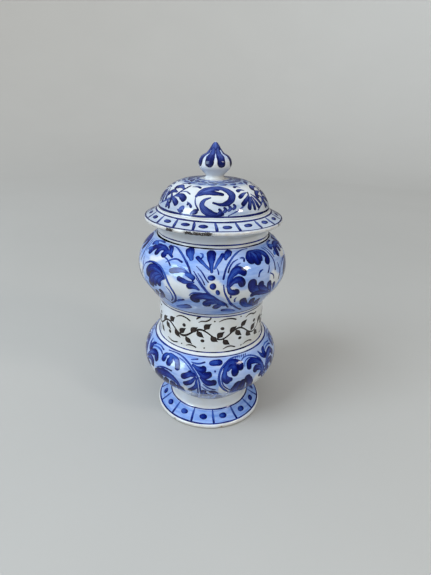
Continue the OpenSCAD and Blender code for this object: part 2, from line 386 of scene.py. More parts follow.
class Brush:
    """Collects brush strokes on one skin into one mesh of thin closed pads.

    Each stroke lies a little higher than the one before it, so that crossing strokes don't flicker.
    """

    def __init__(self, skin, seed, lift=0.045):
        self.skin = skin
        self.random = np.random.default_rng(seed)
        self.lift = lift
        self.count = 0
        self.points, self.normals, self.faces = [], [], []
        self.tone, self.flow = [], []
        self.total = 0
        self.turn = self.drop = 0.0

    def _add(self, theta, s, height, tone, flow, closed_loop=False):
        """Adds a grid of rows along the stroke and columns across it, closed underneath."""
        rows, columns = theta.shape
        points, normals = self.skin.place(theta, s, height)
        index = np.arange(rows * columns).reshape(rows, columns) + self.total
        following = np.roll(index, -1, 0)
        last = rows if closed_loop else rows - 1
        for i in range(last):
            a, b = index[i], following[i]
            self.faces += np.stack([a[:-1], a[1:], b[1:], b[:-1]], 1).tolist()
            self.faces.append([int(a[-1]), int(a[0]), int(b[0]), int(b[-1])])
        if not closed_loop:
            self.faces.append(index[0][::-1].tolist())
            self.faces.append(index[-1].tolist())
        self.points.append(points.reshape(-1, 3))
        self.normals.append(normals.reshape(-1, 3))
        self.tone.append(np.clip(tone, 0, 1).ravel())
        self.flow.append(flow.reshape(-1, 3))
        self.total += rows * columns

    def _next_lift(self):
        self.count += 1
        return self.lift + LAYER_STEP * (self.count % LAYERS)

    def _path(self, marks):
        """A smooth curve through the marks, with its length in mm."""
        marks = np.array(marks, float) + (self.turn, self.drop)
        if len(marks) == 2:
            marks = np.array([marks[0], marks.mean(0), marks[1]])
        ends = np.vstack([2 * marks[0] - marks[1], marks, 2 * marks[-1] - marks[-2]])
        fine = []
        for k in range(1, len(ends) - 2):
            p0, p1, p2, p3 = ends[k - 1:k + 3]
            t = np.linspace(0, 1, 12, endpoint=False)[:, None]
            fine.append(0.5 * (2 * p1 + (p2 - p0) * t + (2 * p0 - 5 * p1 + 4 * p2 - p3) * t ** 2
                               + (3 * p1 - p0 - 3 * p2 + p3) * t ** 3))
        fine = np.vstack(fine + [marks[-1:]])
        middle_r = self.skin.radius((fine[1:, 1] + fine[:-1, 1]) / 2)
        steps = np.hypot(np.radians(np.diff(fine[:, 0])) * middle_r, np.diff(fine[:, 1]))
        return fine, np.r_[0, np.cumsum(steps)]

    def stroke(self, marks, width, tail=0.15, swell=0.7, end=1.0, tone=0.68, columns=7, oval=False):
        """One loaded-brush stroke: it starts tail wide, is at its widest at swell, and ends end wide."""
        fine, length = self._path(marks)
        total = length[-1]
        count = int(np.clip(total / 0.75, 7, 60)) + 6
        t = 0.5 - 0.5 * np.cos(np.pi * np.linspace(0, 1, count))
        t = 0.5 * t + 0.5 * np.linspace(0, 1, count)
        at = t * total
        theta = np.interp(at, length, fine[:, 0])
        s = np.interp(at, length, fine[:, 1])
        radius = self.skin.radius(s)
        along = np.stack([np.gradient(np.radians(theta)) * radius, np.gradient(s)], 1)
        along /= np.maximum(np.linalg.norm(along, axis=1), 1e-9)[:, None]
        across = np.stack([-along[:, 1], along[:, 0]], 1)
        half = self._half_width(t, total, width, tail, swell, end, oval)
        c = np.sin(np.linspace(-np.pi / 2, np.pi / 2, columns))
        offset = half[:, None] * c[None]
        grid_theta = theta[:, None] + np.degrees(offset * across[:, :1] / radius[:, None])
        grid_s = s[:, None] + offset * across[:, 1:]
        height, shade = self._layer(t, half, np.abs(c)[None], tone)
        flow = np.stack([np.repeat(at[:, None], columns, 1), offset,
                         np.full_like(offset, self.random.uniform(0, 50))], -1)
        self._add(grid_theta, grid_s, height, shade, flow)

    def _half_width(self, t, total, width, tail, swell, end, oval):
        """Half a stroke's width at each t along it, with a shaky edge and round ends."""
        if oval:
            body = round_end(1 - np.abs(2 * t - 1))
        else:
            body = tail + (1 - tail) * eased(t / swell) - (1 - end) * eased((t - swell) / (1 - swell))
        at = t * total
        shake = self.random.uniform(0, 6.28, 3)
        half = width / 2 * body
        half = half * (1 + 0.05 * np.sin(at / 1.7 + shake[0]) + 0.04 * np.sin(at / 0.8 + shake[1]))
        if oval:
            start_cap = end_cap = 0.01
        else:
            start_cap = max(0.3, half[0])
            end_cap = min(max(0.3, half[-1] * 0.95), total * 0.6)
        return half * (round_end(at / start_cap) * round_end((total - at) / end_cap))

    def _layer(self, t, half, edge, tone):
        """How high a stroke's paint stands and how dark it is, along it and from its middle to its edge."""
        lift = self._next_lift()
        depth = np.clip(half[:, None] * (1 - edge) / 0.25, 0, 1)
        height = -SUNK + (lift + SUNK) * np.minimum(1, 0.15 + depth)
        height = np.where(edge > 0.999, -SUNK, height)
        height[0] = height[-1] = -SUNK
        pool = np.clip((t - 0.45) / 0.5, 0, 1)[:, None] ** 1.3
        start = np.clip(1 - t / 0.2, 0, 1)[:, None]
        shade = tone - 0.20 + 0.52 * pool + 0.12 * start + 0.32 * edge ** 3 - 0.14 * (1 - edge)
        return height, shade + self.random.uniform(-0.10, 0.10)

    def strokes(self, table, **shape):
        """A run of strokes of one shape, each given by its marks and its width."""
        for marks, width in table:
            self.stroke(marks, width, **shape)

    def line(self, marks, width, tone=0.60):
        """A thin line from a pointed brush, a little thicker in its middle."""
        self.stroke(marks, 1.2 * width, tail=0.55, swell=0.4, tone=tone, columns=5)

    def lines(self, table, tone=0.60):
        """A run of lines, each given by its marks, its width and, where it isn't the run's own, its tone."""
        for marks, width, *own_tone in table:
            self.line(marks, width, *(own_tone or [tone]))

    def dot(self, theta, s, wide, high, tone=0.75):
        """A round or oval dab, wide and high in mm."""
        half = np.degrees(wide / 2 / self.skin.radius(s))
        lean = self.random.uniform(-0.12, 0.12) * high
        marks = [(theta - half, s + lean), (theta, s), (theta + half, s - lean)]
        self.stroke(marks, high, tone=tone - 0.08, oval=True)

    def ring(self, s, width, tone=0.62, stray=0.12, waves=0, sway=0.0):
        """A line all the way round, painted on the wheel, or one that sways to and fro in waves."""
        count = 240
        theta = np.linspace(-180, 180, count, endpoint=False)
        a = np.radians(theta)
        shake = self.random.uniform(0, 6.28, 6)
        stray_at = np.sin(a + shake[0]) + 0.6 * np.sin(3 * a + shake[1]) + 0.3 * np.sin(9 * a + shake[2])
        centre = s + stray * stray_at + sway * np.sin(waves * a)
        half = width / 2 * (1 + 0.16 * np.sin(2 * a + shake[3]) + 0.10 * np.sin(7 * a + shake[4])
                            + 0.06 * np.sin(23 * a + shake[5]))
        c = np.linspace(-1, 1, 5)
        grid_theta = np.repeat(theta[:, None], 5, 1)
        grid_s = centre[:, None] + half[:, None] * c[None]
        lift = self._next_lift()
        height = np.repeat(np.where(np.abs(c) > 0.99, -SUNK, lift)[None], count, 0)
        shade = tone + 0.12 * np.sin(3 * a + shake[1])[:, None] + 0.1 * np.sin(11 * a + shake[4])[:, None]
        shade = shade + 0.15 * (np.abs(c)[None] ** 2)
        radius = float(self.skin.radius(s))
        flow = np.stack([np.repeat((a * radius)[:, None], 5, 1), grid_s, np.zeros((count, 5))], -1)
        self._add(grid_theta, grid_s, height, shade, flow, closed_loop=True)

    def rings(self, table):
        """Several rings, each given by its place and its width."""
        for s, width in table:
            self.ring(s, width)

    def finish(self, name, material, body):
        """Turns all strokes so far into one piece that rides on a body."""
        thing = new_object(name, np.vstack(self.points), self.faces, normals=np.vstack(self.normals),
                           tone=np.concatenate(self.tone), flow=np.vstack(self.flow))
        thing.data.materials.append(material)
        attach(thing, body)
        return thing


# ---------------- brushwork

def three_times(brush, panel):
    """Paints a panel at the front and again a third of a turn either way, each a little different."""
    for turn in (0, 120, -120):
        stray = 0 if turn == 0 else brush.random.uniform(-1.5, 1.5)
        brush.turn = turn + stray
        brush.drop = 0 if turn == 0 else brush.random.uniform(-0.8, 0.8)
        panel(brush)
    brush.turn = brush.drop = 0


def upper_bud(b):
    """The fan-shaped bud at the middle of the upper lobe, with its row of dots."""
    b.stroke([(-0.2, 24.5), (-0.8, 16), (-1.0, 6.5)], 6.8, tail=0.3, swell=0.85, tone=0.62)
    b.stroke([(-1.4, 22.4), (-6.6, 17.8), (-12.8, 12.9)], 2.9, tail=0.55, tone=0.5)
    b.stroke([(1.2, 22), (4.8, 15.8), (9.6, 9.4)], 3.3, tail=0.45, tone=0.5)
    b.stroke([(-15.3, 16.8), (-18, 12), (-20.8, 5.8)], 6.6, tail=0.5, tone=0.6)
    b.stroke([(9.5, 15.3), (12, 11), (15.3, 6.4)], 5.2, tail=0.45, tone=0.6)
    b.line([(-10.5, 10.2), (-8.2, 10.8), (-7.6, 13), (-9, 14.6)], 1.2)
    b.dot(-0.3, 27.6, 5.6, 4.0)
    b.dot(0.8, 33.6, 4.8, 4.8)
    b.dot(4.2, 38.2, 3.0, 4.6)


def upper_stems(b):
    """Thin scrolling stems and echo lines of the upper lobe."""
    b.lines((
        ([(33, 6.9), (25, 7.8), (18, 11.5), (13, 16.5), (9.5, 22), (7.5, 29)], 1.25),
        ([(20, 14.8), (15.5, 17), (12.5, 20.5), (11, 24.5)], 1.0),
        ([(21.5, 17.8), (17.5, 19.5), (14.5, 22.5)], 1.0),
        ([(3, 20.5), (4.2, 23), (4.5, 25.5)], 0.9),
        ([(21.5, 14.2), (25, 14.6), (24, 17.6)], 1.3),
        ([(-42, 8), (-34, 8), (-27, 11.5), (-21, 16.5), (-16.5, 22), (-12.5, 31)], 1.4),
        ([(-36.5, 21.5), (-32, 18.5), (-27.5, 17.2), (-22, 19)], 1.2),
        ([(-26, 21.5), (-20, 23), (-16.5, 26)], 0.9, 0.35),
        ([(-11.5, 20), (-7, 24), (-4, 28.5), (-2, 31)], 0.9),
        ([(-10, 24.5), (-6.5, 29), (-4.5, 33)], 0.8),
        ([(-13, 23.5), (-9, 29), (-5, 35), (-1, 40), (5, 45), (10, 50), (14, 56)], 1.3),
        ([(-11, 28), (-6.5, 34), (-2, 39.5), (2, 43)], 1.0),
        ([(7.8, 32), (8.8, 38), (11.5, 44), (15, 50), (21, 57), (28, 62)], 1.5),
        ([(10.5, 42), (13, 48), (16.5, 54)], 1.0),
        ([(13.2, 40.8), (13.6, 43.8)], 1.4, 0.8),
        ([(17.8, 43), (16.8, 45.5), (17.5, 48.5)], 1.1),
        ([(39, 25), (35.5, 26.5), (34, 30)], 1.2),
        ([(46, 23), (45, 26), (43, 29)], 1.1),
        ([(48, 9), (51, 14), (53, 21), (52, 29)], 1.2),
        ([(51, 9), (54, 14), (55.5, 20)], 0.9),
        ([(-54, 25), (-47, 24), (-40, 25.5), (-35, 29.5), (-30.5, 37), (-27, 45), (-30, 53),
          (-37, 59)], 1.6),
        ([(-61, 34), (-58, 28), (-51, 25), (-44, 25.4)], 1.0),
        ([(-60, 40), (-57.5, 45), (-53, 50)], 1.1),
        ([(-50, 48.5), (-45, 50.5), (-40, 54), (-37, 58)], 1.0),
        ([(-44, 17.5), (-36, 19), (-31, 23)], 1.0),
        ([(45, 29), (49, 31.4), (50, 35)], 1.0),
        ([(57, 24), (58.5, 31), (57, 38)], 1.1),
        ([(-34, 38.5), (-31, 42), (-30, 46.5), (-31.5, 51), (-35, 55)], 1.2),
        ([(-16, 42.8), (-13, 39.8), (-7, 39.3), (-1, 41)], 1.2),
        ([(-28, 53), (-25, 50), (-20, 47.5)], 1.9, 0.45),
        ([(-63, 9.5), (-57, 7.4), (-49, 7.2)], 1.6, 0.3),
    ))


def upper_leaves(b):
    """The fat comma-stroke leaves of the upper lobe."""
    b.strokes((
        ([(10.5, 35), (12.5, 27.5), (18, 22.5), (24.5, 26)], 5.6),
        ([(11, 35), (14.5, 30.5), (19.5, 29.6), (21.5, 35)], 5.6),
        ([(10.5, 32), (12.5, 37.5), (16, 38.8), (19, 37)], 5.2),
        ([(37, 9.8), (31.5, 12), (30, 20)], 7.2),
        ([(33, 10), (35.5, 14), (36, 21.6)], 6.6),
        ([(36, 10), (39.5, 13), (39, 19.5)], 5.4),
        ([(32, 10.8), (39, 10.4), (45, 13.5), (47, 18), (43.5, 22.4)], 5.0),
        ([(47, 44.5), (36, 40.5), (29, 36.5), (30, 30.2)], 7.4),
        ([(47, 44), (40, 40.5), (36.5, 37.5), (37, 33)], 6.0),
        ([(51, 45.5), (46.5, 41), (44, 34.8)], 5.4),
        ([(54, 46), (52, 41), (50, 37.5)], 3.8),
        ([(53, 47.5), (42, 44.6), (34, 42.2), (28.5, 44)], 4.8),
        ([(43, 61.5), (32, 57.5), (26, 52), (22.8, 44.8)], 5.6),
        ([(45, 61.5), (37, 56.5), (33.5, 52), (32, 47)], 5.0),
        ([(48, 62), (42.5, 57), (39, 50.5)], 4.6),
        ([(-31.5, 17), (-38, 13.6), (-46, 11.6), (-55, 13), (-59, 20.5)], 5.4),
        ([(-44, 12), (-49, 14.8), (-49.6, 19.2)], 5.2),
        ([(-34, 13.5), (-40, 14.4), (-41.5, 19)], 5.6),
        ([(-33, 16.5), (-37, 10.5), (-42, 8)], 3.4),
        ([(-16, 25.5), (-23, 24.5), (-31.5, 26.6)], 4.2),
        ([(-11.5, 31.5), (-18, 31.8), (-24.6, 29.8)], 3.8),
        ([(-8, 37), (-12, 34.6), (-17.5, 34.6)], 4.6),
        ([(-34.5, 33.8), (-39, 29), (-46, 27.8), (-51.5, 30.5), (-53.5, 37)], 6.4),
        ([(-38, 30), (-45, 32), (-49, 38), (-51, 44.5)], 6.6),
        ([(-37, 31.5), (-43, 34.5), (-46, 42)], 5.0),
        ([(-35.5, 33), (-39.5, 35.5), (-41, 40.8)], 4.6),
        ([(-51, 58), (-45, 53.5), (-40, 48), (-41.5, 43.4)], 4.6),
        ([(-56, 59), (-52, 54), (-47, 49), (-46, 46)], 3.8),
        ([(-60, 58), (-57, 53), (-53, 49.4)], 3.4),
        ([(7, 51), (2, 44), (-5, 41.8), (-12, 44), (-9.5, 48.8)], 6.6),
        ([(10.5, 53), (4, 47.2), (-2.5, 48.4), (-3.4, 54)], 6.8),
        ([(11, 53), (6.5, 51.5), (2, 57)], 5.6),
        ([(0, 44), (6, 47), (11.5, 52.6)], 3.8),
    ), tail=0.35, swell=0.65)
    b.strokes((
        ([(-33, 62), (-24, 58.6), (-16.5, 55.4)], 5.6),
        ([(22, 62.2), (14, 59.6), (8, 59.4)], 4.6),
        ([(-19, 26.5), (-14.5, 27.5), (-11.5, 29.5)], 4.0),
        ([(57, 18), (61, 17), (66, 19)], 4.4),
        ([(66, 12), (61, 11), (56.5, 13)], 4.8),
    ), tail=0.5, swell=0.6, tone=0.42)


def lower_stems(b):
    """Thin scrolling stems and echo lines of the lower lobe."""
    b.lines((
        ([(-42, 10.4), (-32, 9.8), (-24, 11.5), (-17, 15.5), (-11.5, 21), (-8, 27), (-7, 36), (-7, 48),
          (-9, 61)], 1.4),
        ([(-28, 12.6), (-22, 14.6), (-15.5, 19.2), (-11, 24.5), (-9, 33), (-9.5, 46)], 1.0),
        ([(-17, 11.8), (-10, 10.6)], 1.0),
        ([(-16, 13.6), (-10, 14.2), (-3.5, 12.4)], 1.2),
        ([(-5, 30), (0, 34), (5.5, 36.2)], 1.3),
        ([(-6, 32.5), (-2, 36.5), (3, 39)], 1.0),
        ([(28, 9.6), (20, 10.5), (14, 13.5), (9.5, 18), (7.6, 23.5), (8.4, 30), (12, 36), (18, 43),
          (27, 55), (37, 66)], 1.8),
        ([(22, 11.5), (16, 15), (11.4, 20), (9.9, 25), (11, 31), (15, 36), (18.5, 39)], 1.1),
    ))
    for k in range(6):
        b.line([(23.5 + 2 * k, 11.6), (25.2 + 2 * k, 9.4)], 0.8)
    b.lines((
        ([(27, 15.4), (31, 12.4), (37, 11.8), (43, 14), (47.5, 18), (50, 24), (52, 31), (57, 42)], 1.3),
        ([(30, 19.5), (31.5, 15.6), (36, 13.8), (41, 15), (45, 18.6)], 0.9),
        ([(-49, 28.4), (-44, 25.8), (-38, 24.4), (-31, 24.6)], 1.3),
        ([(-47, 31), (-41, 27.4), (-34, 26.4)], 0.9, 0.35),
        ([(-64, 16), (-56, 13.6), (-49, 14), (-45.5, 16)], 1.2, 0.35),
        ([(-62, 12.6), (-54, 11), (-46, 12.4)], 1.0, 0.35),
        ([(-1, 60), (-2.5, 50), (-1.5, 41)], 1.0),
        ([(56, 24), (57, 28), (55.5, 32)], 1.5, 0.8),
    ))


def lower_leaves(b):
    """The fat comma-stroke leaves of the lower lobe."""
    b.stroke([(-0.6, 13.4), (5, 12.8), (11.4, 12.6)], 4.8, tail=0.8, swell=0.5, tone=0.72)
    b.dot(4.5, 19.3, 1.7, 1.6)
    b.strokes((
        ([(-15, 15), (-8, 18.4), (-2.4, 17)], 5.0),
        ([(-10, 19.5), (-4, 23), (2, 20.8)], 5.6),
        ([(-7.5, 24), (-1, 28.8), (6, 28)], 5.6),
        ([(-10.5, 22.5), (-15, 23), (-22.8, 27)], 5.2),
        ([(-10.5, 24), (-14.5, 29.5), (-20.8, 33)], 4.6),
        ([(-9.8, 25), (-11, 34), (-17.5, 40.6)], 4.0),
        ([(-10.5, 23.5), (-13.5, 23.4), (-17.5, 21)], 4.4),
        ([(12.8, 27), (13, 18.6), (18.5, 14), (26, 16), (24.5, 21)], 6.2),
        ([(14, 20), (18, 16.8), (21, 19), (20, 25)], 6.2),
        ([(12.6, 17), (12, 25), (15.6, 30.2)], 5.0),
        ([(13, 22), (15, 26), (18.6, 27.4)], 4.0),
        ([(50, 35), (48.4, 23), (42, 17.6), (35.5, 17.4), (34, 22.8)], 5.0),
        ([(49, 31), (46, 25.4), (41, 23.6), (39.4, 27.2)], 5.2),
        ([(51, 37), (47.5, 30.6), (45, 33.6)], 4.4),
        ([(49, 12), (52, 17), (58, 19.8)], 4.2),
        ([(60, 12), (56, 14.5), (56.5, 20.6)], 5.4),
        ([(31, 58), (24, 47), (21.8, 38), (25.4, 29.8)], 7.6),
        ([(35, 60), (30, 47), (27.6, 37), (28.4, 28.8)], 6.2),
        ([(40, 62), (37.4, 47), (35, 34.5), (30.6, 26.6)], 6.6),
        ([(46, 64), (40.5, 52), (38, 40)], 6.6),
        ([(26, 50), (34, 60), (46, 68)], 6.6),
        ([(-38, 12.6), (-42, 15), (-42.4, 20.6)], 5.0),
        ([(-39, 12), (-35.5, 15), (-36.6, 22)], 5.6),
        ([(-38, 12), (-32, 13.8), (-28, 16.4), (-26.4, 22.8)], 4.8),
        ([(-68, 28), (-61, 20.5), (-53.5, 18.6), (-49.4, 24)], 5.6),
        ([(-67, 30), (-61, 25.4), (-56, 26), (-54.6, 31)], 5.4),
        ([(-70, 34), (-65, 30.6), (-60, 32.6)], 4.2),
        ([(-25, 44), (-26, 34.5), (-33, 29.5), (-41, 29.4), (-48, 33), (-51.5, 41)], 7.2),
        ([(-43, 68), (-32, 57), (-26, 46), (-25, 36)], 7.4),
        ([(-56, 66), (-45, 57), (-35, 45), (-30, 34)], 6.0),
        ([(-64, 60), (-52, 52), (-42, 42), (-36, 33)], 5.4),
        ([(-72, 54), (-60, 48), (-50, 41), (-42, 33)], 5.4),
    ), tail=0.35, swell=0.65)
    b.strokes((
        ([(-4, 57), (-5, 50), (-4.4, 43), (-4, 36.5)], 4.0),
        ([(5, 54), (6.4, 47), (5, 41), (0, 38)], 4.6),
        ([(3, 60), (1.4, 51), (-0.6, 43)], 4.4),
        ([(8, 50), (12, 58), (11, 67)], 6.0),
        ([(-11, 50), (-15, 60), (-22, 68)], 4.6),
    ), tail=0.4, swell=0.6, tone=0.55)


def dome_volutes(b):
    """The big C volute and the leaf sprays of the lid's dome."""
    b.stroke([(-21, 30.5), (-15, 23), (0, 19.8), (13, 21.4), (21, 27), (17, 32.6), (8, 35), (-2, 33.6)],
             5.6, tail=0.4, swell=0.62, end=0.3)
    b.stroke([(-19.5, 28.8), (-10, 25.6), (2, 26), (12, 27.2)], 5.0, tail=0.5, swell=0.4, end=0.6)
    b.stroke([(-16, 25.6), (-4, 22.6), (7, 22.8)], 3.2, tail=0.4, swell=0.5, end=0.5, tone=0.5)
    b.stroke([(-3, 29.6), (-10, 32), (-12, 36), (-7, 40), (2, 42), (10, 41.6)], 5.4, tail=0.25,
             swell=0.55, end=0.35)
    b.line([(-21, 29.5), (-19, 35), (-14, 40)], 1.0)
    for k in range(4):
        b.stroke([(3 + 5 * k, 41.8 - 1.0 * k), (6.4 + 5 * k, 40 - 1.1 * k), (4.6 + 5 * k, 37.6 - 1.0 * k)],
                 2.6, tail=0.7, swell=0.5, end=0.7)
    b.strokes((
        ([(41, 21), (35, 19), (28.6, 20.4)], 2.4),
        ([(43, 24.4), (36, 23.2), (29, 25)], 2.8),
        ([(44, 26.4), (37, 27.4), (28, 30.6)], 3.0),
        ([(45, 28.4), (38, 31.6), (29, 36.4)], 3.2),
        ([(45, 30), (41, 34), (36.4, 40)], 3.8),
        ([(46, 30.6), (45, 35), (44.4, 41)], 3.2),
        ([(47, 30), (49.4, 34.6), (51.6, 40.4)], 3.2),
        ([(48, 28), (53.4, 32.4), (58.6, 38.4)], 3.0),
        ([(-49, 31.6), (-40, 30.6), (-31, 34)], 5.2),
        ([(-54, 33.6), (-47, 34.6), (-39, 38)], 4.4),
        ([(-57, 34), (-55, 38), (-55, 42)], 3.0),
        ([(-58, 20), (-50, 17), (-42, 17.6)], 2.8),
        ([(-56, 37), (-51, 39.6), (-49, 42)], 2.8),
        ([(-38, 40.6), (-34, 42), (-30, 41)], 2.2),
        ([(-23, 42.6), (-19, 41.2), (-15, 39.8)], 4.0),
        ([(-29, 34.4), (-25, 36), (-22, 38.6)], 2.0),
        ([(-42, 24.5), (-53, 22.6), (-62, 26)], 5.0),
        ([(-48, 28.5), (-58, 28.6), (-64, 33)], 4.6),
        ([(60, 30), (66, 34), (68, 39)], 3.0),
        ([(-33, 21), (-24, 20), (-18, 21.8)], 2.2),
    ), tail=0.35, swell=0.65)
    b.dot(-27, 36.2, 1.8, 2.2, tone=1.0)
    b.lines((
        ([(-72, 41.5), (-60, 37), (-50, 33), (-42, 25), (-37, 19.5)], 1.5),
        ([(-44, 28), (-36, 26.6), (-28, 28.6)], 0.9),
        ([(13, 43), (28, 38), (40, 32), (46, 26)], 1.1),
    ))
    b.stroke([(-36, 42), (-33, 39.8), (-29.5, 38.4)], 3.8, tail=0.5, swell=0.6, tone=0.12)


def dome_crown(b):
    """Paler sweeping strokes over the top of the dome, near the knob."""
    for k in range(6):
        start = -58 + 20 * k
        for marks, width, end, tone in (
                ([(0, 7), (12, 10), (27, 11.4 + k % 3)], 3.6, 0.3, 0.46 + 0.08 * (k % 3)),
                ([(6, 15), (14, 15.4), (23, 14.2)], 3.0, 0.4, 0.5),
                ([(2, 5.4), (16, 4.4), (30, 6)], 2.2, 0.3, 0.3)):
            marks = [(start + theta, s) for theta, s in marks]
            b.stroke(marks, width, tail=0.4, swell=0.5, end=end, tone=tone)


def knob_petals(b):
    """Eight petals that run down from the knob's painted point to dark, round ends."""
    for k in range(8):
        theta = -155 + 45 * k + b.random.uniform(-3, 3)
        width = 6.2 + b.random.uniform(-0.9, 0.9)
        b.stroke([(theta + 22, 0.7), (theta + 22, 3), (theta + 22, 7.6)], 3.4, tail=0.5, swell=0.6,
                 end=0.4, tone=0.5)
        b.stroke([(theta, 0.7), (theta + 1, 7), (theta, 15), (theta, 22.6)], width, tail=0.28, swell=0.8,
                 tone=0.64)
    for k in range(6):
        theta = 60 * k + b.random.uniform(-5, 5)
        b.stroke([(theta, 0.7), (theta, 3), (theta + 1, 7.5 + b.random.uniform(-1, 1))], 3.0, tail=0.7,
                 end=0.3, tone=0.85)


def cells(b, first, last, count, offset, lean, wide, high, width):
    """A border of cells between two lines: dividers, each with an oval dab beside it."""
    for k in range(count):
        theta = offset + 360 / count * k + b.random.uniform(-1.2, 1.2)
        middle = (first + last) / 2
        b.line([(theta - lean, first), (theta + b.random.uniform(-0.6, 0.6), middle), (theta + lean, last)],
               width, tone=0.58)
        place = theta + 180 / count + b.random.uniform(-1, 1)
        b.dot(place, middle + b.random.uniform(-0.4, 0.4), wide, high, tone=0.74)


def waist_garland(b):
    """A leafy garland that sways round the waist, with a berry in each hollow."""
    waves, middle, sway = 9, 16.4, 4.0
    b.ring(middle, 1.9, tone=0.85, waves=waves, sway=sway)
    leaves = 6 * waves
    for k in range(leaves):
        theta = -180 + 360 / leaves * k + b.random.uniform(-0.5, 0.5)
        s = middle + sway * sin(waves * theta)
        side = 1 if k % 2 else -1
        reach = b.random.uniform(0.9, 1.1)
        b.stroke([(theta, s), (theta + 2.4, s + side * 3.2 * reach), (theta + 7.6, s + side * 6.4 * reach)],
                 5.0, tail=0.12, swell=0.45, end=0.1, tone=0.8)
    for k in range(2 * waves):
        theta = 360 / (2 * waves) * (k + 0.5) + 2
        side = -1 if k % 2 else 1
        b.dot(theta, middle - side * 5.4, 3.2, 3.0, tone=0.9)


def waist_flourishes(b):
    """Thin curls above and below the run of ornament."""
    b.lines((
        ([(-38, 6.2), (-34.5, 4.3), (-30, 3.6), (-25, 4.4), (-20.5, 6.4)], 1.1),
        ([(-12.5, 6.4), (-9, 5), (-5, 4.8), (-1.6, 3.6), (0.6, 1.5)], 1.1),
        ([(8, 5.2), (12.5, 3.6), (17.5, 3), (22.5, 3.4), (27, 4.8)], 1.1),
        ([(38, 5.2), (42, 3.6), (46.5, 3.6), (51, 4.8), (55.5, 4.2)], 1.1),
        ([(-14.6, 4), (-12.6, 2.4), (-10, 1.4)], 1.4),
        ([(-52, 27.6), (-47, 29), (-42, 29.2), (-36, 27.8)], 1.1),
        ([(-26, 28.4), (-22, 27.2), (-18, 27.2), (-14, 28.6)], 1.1),
        ([(13, 29.2), (17, 27.6), (21.5, 27.2), (27, 28.8)], 1.1),
        ([(36, 28.8), (40, 27.4), (45, 27.2), (50, 28.6)], 1.1),
    ), tone=0.75)
    for theta, s in ((34, 28.6), (-6, 28), (4, 4.6), (-31, 28), (32, 3)):
        b.dot(theta, s, 1.4, 1.4, tone=0.85)


# ---------------- pale wash under the brushwork

def soft(value, low, high):
    """0 below low, 1 above high, and a straight rise between."""
    return np.clip((value - low) / (high - low), 0, 1)


def between(value, low, full, still_full, gone):
    """0 outside low and gone, 1 from full to still_full, and soft steps between."""
    return soft(value, low, full) * (1 - soft(value, still_full, gone))


def patch(theta, s, centre_theta, centre_s, half_theta, half_s):
    """1 in the middle of a soft oval patch that repeats three times round the jar, and 0 outside it."""
    across = (theta - centre_theta + 60) % 120 - 60
    return 1 - soft(np.hypot(across / half_theta, (s - centre_s) / half_s), 0.78, 1.05)


def lobe_wash(theta, s, ragged, edges, gaps, ripple):
    """Pale blue over a lobe between its painted lines, with white gaps in it and a slow ripple."""
    wash = between(s, *edges)
    for gap in gaps:
        wash = wash * (1 - 0.95 * patch(theta, s + ragged, *gap))
    return wash * (0.86 + 0.14 * np.sin(ripple))


def body_wash(theta, r, z, distance):
    """How much pale blue lies on the jar's glaze."""
    upper_s = np.interp(-z, -upper_skin.line[:, 1], upper_skin.length)
    lower_s = np.interp(-z, -lower_skin.line[:, 1], lower_skin.length)
    ragged = 1.8 * np.sin(np.radians(9 * theta) + 1) + 1.2 * np.sin(np.radians(23 * theta) + upper_s / 4)
    upper_gaps = (-25, 38, 12, 8), (17, 41, 13, 7), (-46, 21, 9, 3), (3, 36, 7, 5), (52, 36, 8, 7)
    lower_gaps = (-19, 42, 5, 9), (12, 39, 5, 8), (44, 39, 7, 8), (-55, 35, 6, 6), (-33, 52, 3, 12)
    upper = lobe_wash(theta, upper_s, ragged, (5.6, 7.0, 65.5, 67.5), upper_gaps,
                      np.radians(7 * theta) + upper_s / 5)
    lower = lobe_wash(theta, lower_s, ragged, (7.6, 9.0, 68.0, 69.5), lower_gaps,
                      np.radians(8 * theta) - lower_s / 5)
    on_upper = (z > WAIST_TOP_Z + 0.5) & (z < MOUTH_Z - 4)
    on_lower = (z > FOOT_H + 1) & (z < WAIST_LOW_Z - 1)
    painted = np.where(on_upper, upper, np.where(on_lower, lower, 0))
    return painted * (distance < body_outline_half)


def foot_wash(theta, r, z, distance):
    """Pale blue on the flange, between the border's two lines."""
    inner_r, outer_r = foot_skin.radius(FOOT_BORDER[0]), foot_skin.radius(FOOT_BORDER[1])
    return between(r, inner_r - 0.3, inner_r + 0.5, outer_r - 0.2, outer_r + 0.5) * soft(z, 2.0, 3.0)


def lid_wash(theta, r, z, distance):
    """Blue round the crown, low on the dome and on the brim, and a faint blue haze over the dome that is
    also painted shade, dimming the dome's whites.
    """
    s = distance - KNOB_FOOT
    streak = 0.5 + 0.5 * np.sin(np.radians(13 * theta) + s / 2.5)
    crown = between(s, 2, 4, 16, 20) * (0.95 + 0.3 * streak)
    low = between(s, 30, 36, 43.2, 44.2) * (0.45 + 0.25 * np.sin(np.radians(5 * theta)))
    brim = between(s, 48.4, 49.0, 57.6, 58.2) * 0.62
    # a faint blue haze that is partly painted shade: it darkens the whites on the dome's upper part
    haze_and_shade = between(s, 14, 18, 42, 44) * 0.15
    return crown + low + brim + haze_and_shade


def knob_wash(theta, r, z, distance):
    """Pale blue towards the knob's point."""
    return soft(z, SEAT_Z + 12, SEAT_Z + 17) * 0.6


# ---------------- thin glaze, chips and bare clay

def nowhere(theta, r, z, distance):
    """Stands for wash, clay or thin glaze that a piece doesn't have."""
    return np.zeros_like(theta)


def rim_thin(theta, r, z, distance):
    """Glaze runs thin over the mouth's two edges."""
    near = np.minimum(np.abs(r - NECK_R + 0.4), np.abs(r - NECK_R + WALL - 0.4))
    return soft(z, MOUTH_Z - 1.2, MOUTH_Z - 0.3) * (1 - soft(near, 0.3, 1.4))


def brim_thin(theta, r, z, distance):
    """Glaze runs thin over the brim's lip."""
    return soft(r, BRIM_R - 0.9, BRIM_R - 0.2) * 0.6


